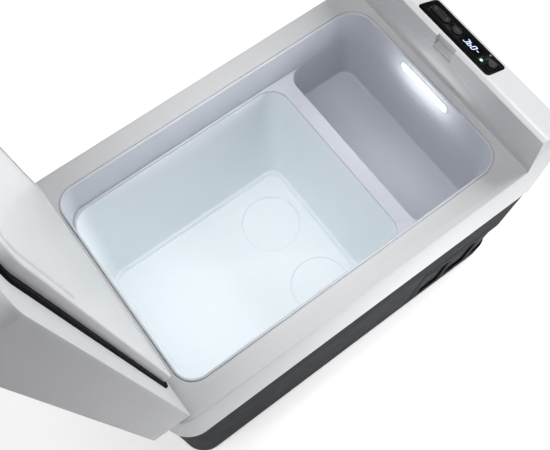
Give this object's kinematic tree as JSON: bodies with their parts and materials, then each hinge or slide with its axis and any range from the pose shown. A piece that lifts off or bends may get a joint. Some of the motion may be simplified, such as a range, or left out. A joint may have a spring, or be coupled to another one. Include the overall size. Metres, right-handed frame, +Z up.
{
  "type": "compressor cooler fridge",
  "caption": "Portable chest cooler with its hinged lid standing open: white tub, dry side compartment behind a divider, sloping control panel, louvred machine bay, end handles.",
  "frame": {"origin": "middle of the case's flat underside", "axes": "+X from the lid hinge to the control end, +Y away from the side that faces the viewer, +Z up"},
  "size_m": [0.7458, 0.38, 0.9218],
  "materials": {
    "upper_case": "fine-grained light grey plastic",
    "lower_case": "fine-grained dark slate plastic",
    "collar": "cool grey satin plastic",
    "tub": "icy white satin plastic",
    "panel_gloss": "gloss black",
    "button": "satin black",
    "black_plastic": "matt black",
    "rubber": "matt",
    "gasket": "soft matt",
    "foam": "rigid expanded foam",
    "steel": "zinc plated",
    "aluminium": "satin",
    "copper": "drawn copper",
    "compressor_black": "black enamel",
    "board": "solder resist",
    "lens": "frosted, lit from behind",
    "lid_light": "fine-grained light grey plastic",
    "liner": "satin white-grey plastic"
  },
  "bodies": {
    "cabinet": {"lower_casing": "lower_case", "upper_casing": "upper_case", "inner_frame": "collar", "light_lens": "lens", "light_board": "board", "freezer_tub": "tub", "evaporator_plate": "aluminium", "insulation_foam": "foam", "control_panel": "panel_gloss", "display_window": "panel_gloss", "status_lamp": "lens", "control_board": "board", "latch_strike": "steel", "hinge_bracket_near": "lower_case", "hinge_bracket_far": "lower_case", "hinge_pin_near": "steel", "hinge_pin_far": "steel", "mounting_plate": "steel", "compressor": "compressor_black", "electronics_module": "black_plastic", "condenser": "aluminium", "fan_frame": "black_plastic", "vent_grille_near": "black_plastic", "vent_grille_far": "black_plastic", "filter_drier": "copper", "suction_pipe": "copper", "discharge_pipe": "copper", "drier_pipe": "copper", "capillary_pipe": "copper", "inlet_housing": "black_plastic", "dc_inlet": "black_plastic", "ac_inlet": "black_plastic", "compressor_grommet_1": "rubber", "compressor_grommet_2": "rubber", "compressor_grommet_3": "rubber", "compressor_grommet_4": "rubber", "foot_left_near": "rubber", "handle_bracket_left_near": "lower_case", "foot_left_far": "rubber", "handle_bracket_left_far": "lower_case", "foot_right_near": "rubber", "handle_bracket_right_near": "lower_case", "foot_right_far": "rubber", "handle_bracket_right_far": "lower_case"},
    "lid": {"lid_shell": "lid_light", "lid_liner": "liner", "lid_gasket": "gasket", "lid_foam": "foam", "latch_pin": "steel", "latch_spring": "steel"},
    "latch": {"latch_lever": "lower_case"},
    "rocker": {"rocker_button": "button"},
    "menu_key": {"menu_button": "button"},
    "power_key": {"power_button": "button"},
    "fan": {"fan_rotor": "black_plastic"},
    "handle_left": {"carry_handle_left": "aluminium", "handle_grip_left": "rubber"},
    "handle_right": {"carry_handle_right": "aluminium", "handle_grip_right": "rubber"}
  },
  "joints": [
    {"name": "lid_hinge", "type": "hinge", "parent": "cabinet", "child": "lid", "pos_m": [-0.3112, 0, 0.368], "axis": [0, 1, 0], "range_deg": [0, 95]},
    {"name": "latch_pivot", "type": "hinge", "parent": "lid", "child": "latch", "pos_m": [-0.36101, 0, 0.90289], "axis": [0, 1, 0], "range_deg": [-10, 0], "stiffness_Nm_per_rad": 0.4, "springref_deg": 20.05},
    {"name": "rocker_tilt", "type": "hinge", "parent": "cabinet", "child": "rocker", "pos_m": [0.27731, 0.044, 0.40762], "axis": [0.9063, 0, -0.4226], "range_deg": [-3, 3], "stiffness_Nm_per_rad": 0.12},
    {"name": "menu_press", "type": "slide", "parent": "cabinet", "child": "menu_key", "axis": [-0.4226, 0, -0.9063], "range_m": [0, 0.0008], "stiffness_N_per_m": 400, "springref_m": -0.001},
    {"name": "power_press", "type": "slide", "parent": "cabinet", "child": "power_key", "axis": [-0.4226, 0, -0.9063], "range_m": [0, 0.0008], "stiffness_N_per_m": 400, "springref_m": -0.001},
    {"name": "fan_spin", "type": "hinge", "parent": "cabinet", "child": "fan", "pos_m": [0.186, -0.15, 0.066], "axis": [0, 1, 0], "continuous": true},
    {"name": "handle_left_swing", "type": "hinge", "parent": "cabinet", "child": "handle_left", "pos_m": [-0.341, 0, 0.304], "axis": [0, 1, 0], "range_deg": [0, 100]},
    {"name": "handle_right_swing", "type": "hinge", "parent": "cabinet", "child": "handle_right", "pos_m": [0.341, 0, 0.304], "axis": [0, -1, 0], "range_deg": [0, 100]}
  ]
}
